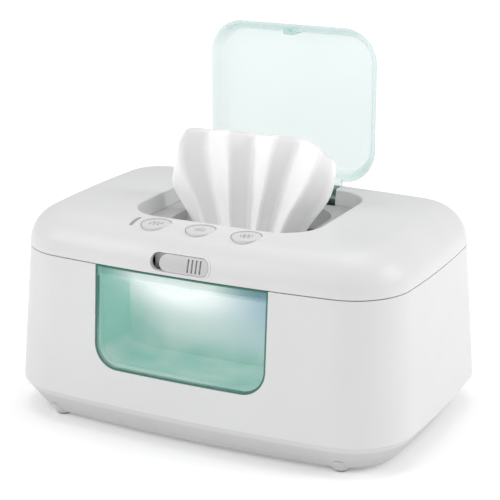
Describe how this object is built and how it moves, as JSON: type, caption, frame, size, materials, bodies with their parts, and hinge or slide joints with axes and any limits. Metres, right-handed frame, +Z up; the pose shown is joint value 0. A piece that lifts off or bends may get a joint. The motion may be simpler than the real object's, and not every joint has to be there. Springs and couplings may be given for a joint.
{
  "type": "baby_wipe_warmer",
  "caption": "Baby wipe warmer with a white bowed case, teal window with a night light, grey buttons and base, a clear flip lid standing open and a wipe pulled up",
  "frame": {"origin": "on the surface the warmer rests on, under the middle of its case", "axes": "+X along the length to the right seen from the front, -Y to the front with the window and buttons, +Z up"},
  "size_m": [0.2608, 0.178, 0.2282],
  "materials": {
    "base_plastic": "satin grey moulded plastic",
    "shell_plastic": "semi-gloss white moulded plastic",
    "button_plastic": "satin light grey moulded plastic",
    "tub_plastic": "satin mid-grey moulded plastic",
    "lid_plastic": "clear moulded plastic with a pale aqua tint",
    "window_plastic": "clear moulded plastic with a sea-green tint",
    "diffuser_plastic": "clear moulded plastic light guide",
    "lamp_lens": "milky clear epoxy",
    "wipe_cloth": "white non-woven cloth, damp",
    "pad_rubber": "dark grey rubber",
    "seal_silicone": "pale grey silicone",
    "screw_steel": "zinc-plated steel",
    "spring_steel": "spring steel wire",
    "heater_metal": "rolled aluminium sheet",
    "film_orange": "amber polyimide film",
    "thermostat_body": "brown phenolic moulding",
    "felt_pad": "grey insulating felt",
    "board_laminate": "green circuit-board laminate",
    "component_black": "black moulded component bodies",
    "wire_sheath": "black soft wire sheath"
  },
  "bodies": {
    "case": {"base_pan": "base_plastic", "rubber_pads": "pad_rubber", "base_screws": "screw_steel", "housing": "shell_plastic", "cover_hinge_pins": "screw_steel", "tub": "tub_plastic", "window_pane": "window_plastic", "light_box": "diffuser_plastic", "led_board": "board_laminate", "led_lamps": "lamp_lens", "wipe_stack": "wipe_cloth", "heating_plate": "heater_metal", "heating_film": "film_orange", "thermostat": "thermostat_body", "thermal_fuse": "thermostat_body", "insulation_pad": "felt_pad", "power_board": "board_laminate", "power_components": "component_black", "board_screws": "screw_steel", "dc_inlet": "component_black", "wiring_harness": "wire_sheath"},
    "cover": {"top_cover": "shell_plastic", "cover_liner": "tub_plastic", "liner_screws": "screw_steel", "cover_seal": "seal_silicone", "control_board": "board_laminate", "control_screws": "screw_steel", "push_switches": "component_black", "indicator_light": "lamp_lens", "control_cable": "wire_sheath", "lid_pin": "screw_steel", "lid_spring": "spring_steel", "catch_spring": "spring_steel", "pulled_wipe": "wipe_cloth"},
    "lid": {"lid": "lid_plastic"},
    "latch": {"latch_knob": "button_plastic", "latch_hook": "tub_plastic"},
    "heat_button": {"heat_button": "button_plastic"},
    "light_button": {"light_button": "button_plastic"},
    "release_button": {"release_button": "button_plastic"},
    "lid_catch": {"lid_catch": "tub_plastic"}
  },
  "joints": [
    {"name": "cover_hinge", "type": "hinge", "parent": "case", "child": "cover", "pos_m": [0, 0.0856, 0.104], "axis": [-1, 0, 0], "range_deg": [0, 95]},
    {"name": "lid_hinge", "type": "hinge", "parent": "cover", "child": "lid", "pos_m": [0, 0.062, 0.1195], "axis": [1, 0, 0], "range_deg": [0, 90], "stiffness_Nm_per_rad": 0.01, "springref_deg": -22.92, "deforming": ["pulled_wipe", "lid_spring"]},
    {"name": "latch_slide", "type": "slide", "parent": "cover", "child": "latch", "axis": [-1, 0, 0], "range_m": [0, 0.006]},
    {"name": "heat_press", "type": "slide", "parent": "cover", "child": "heat_button", "axis": [0, 0, -1], "range_m": [0, 0.0008], "stiffness_N_per_m": 400, "springref_m": -0.0005},
    {"name": "light_press", "type": "slide", "parent": "cover", "child": "light_button", "axis": [0, 0, -1], "range_m": [0, 0.0008], "stiffness_N_per_m": 400, "springref_m": -0.0005},
    {"name": "release_press", "type": "slide", "parent": "cover", "child": "release_button", "axis": [0, 0, -1], "range_m": [0, 0.0015], "stiffness_N_per_m": 400, "springref_m": -0.001},
    {"name": "catch_slide", "type": "slide", "parent": "cover", "child": "lid_catch", "axis": [0, -1, 0], "range_m": [0, 0.0015], "deforming": ["catch_spring"]}
  ],
  "couplings": [
    {"joint": "catch_slide", "follows": "release_press", "ratio": 1}
  ]
}
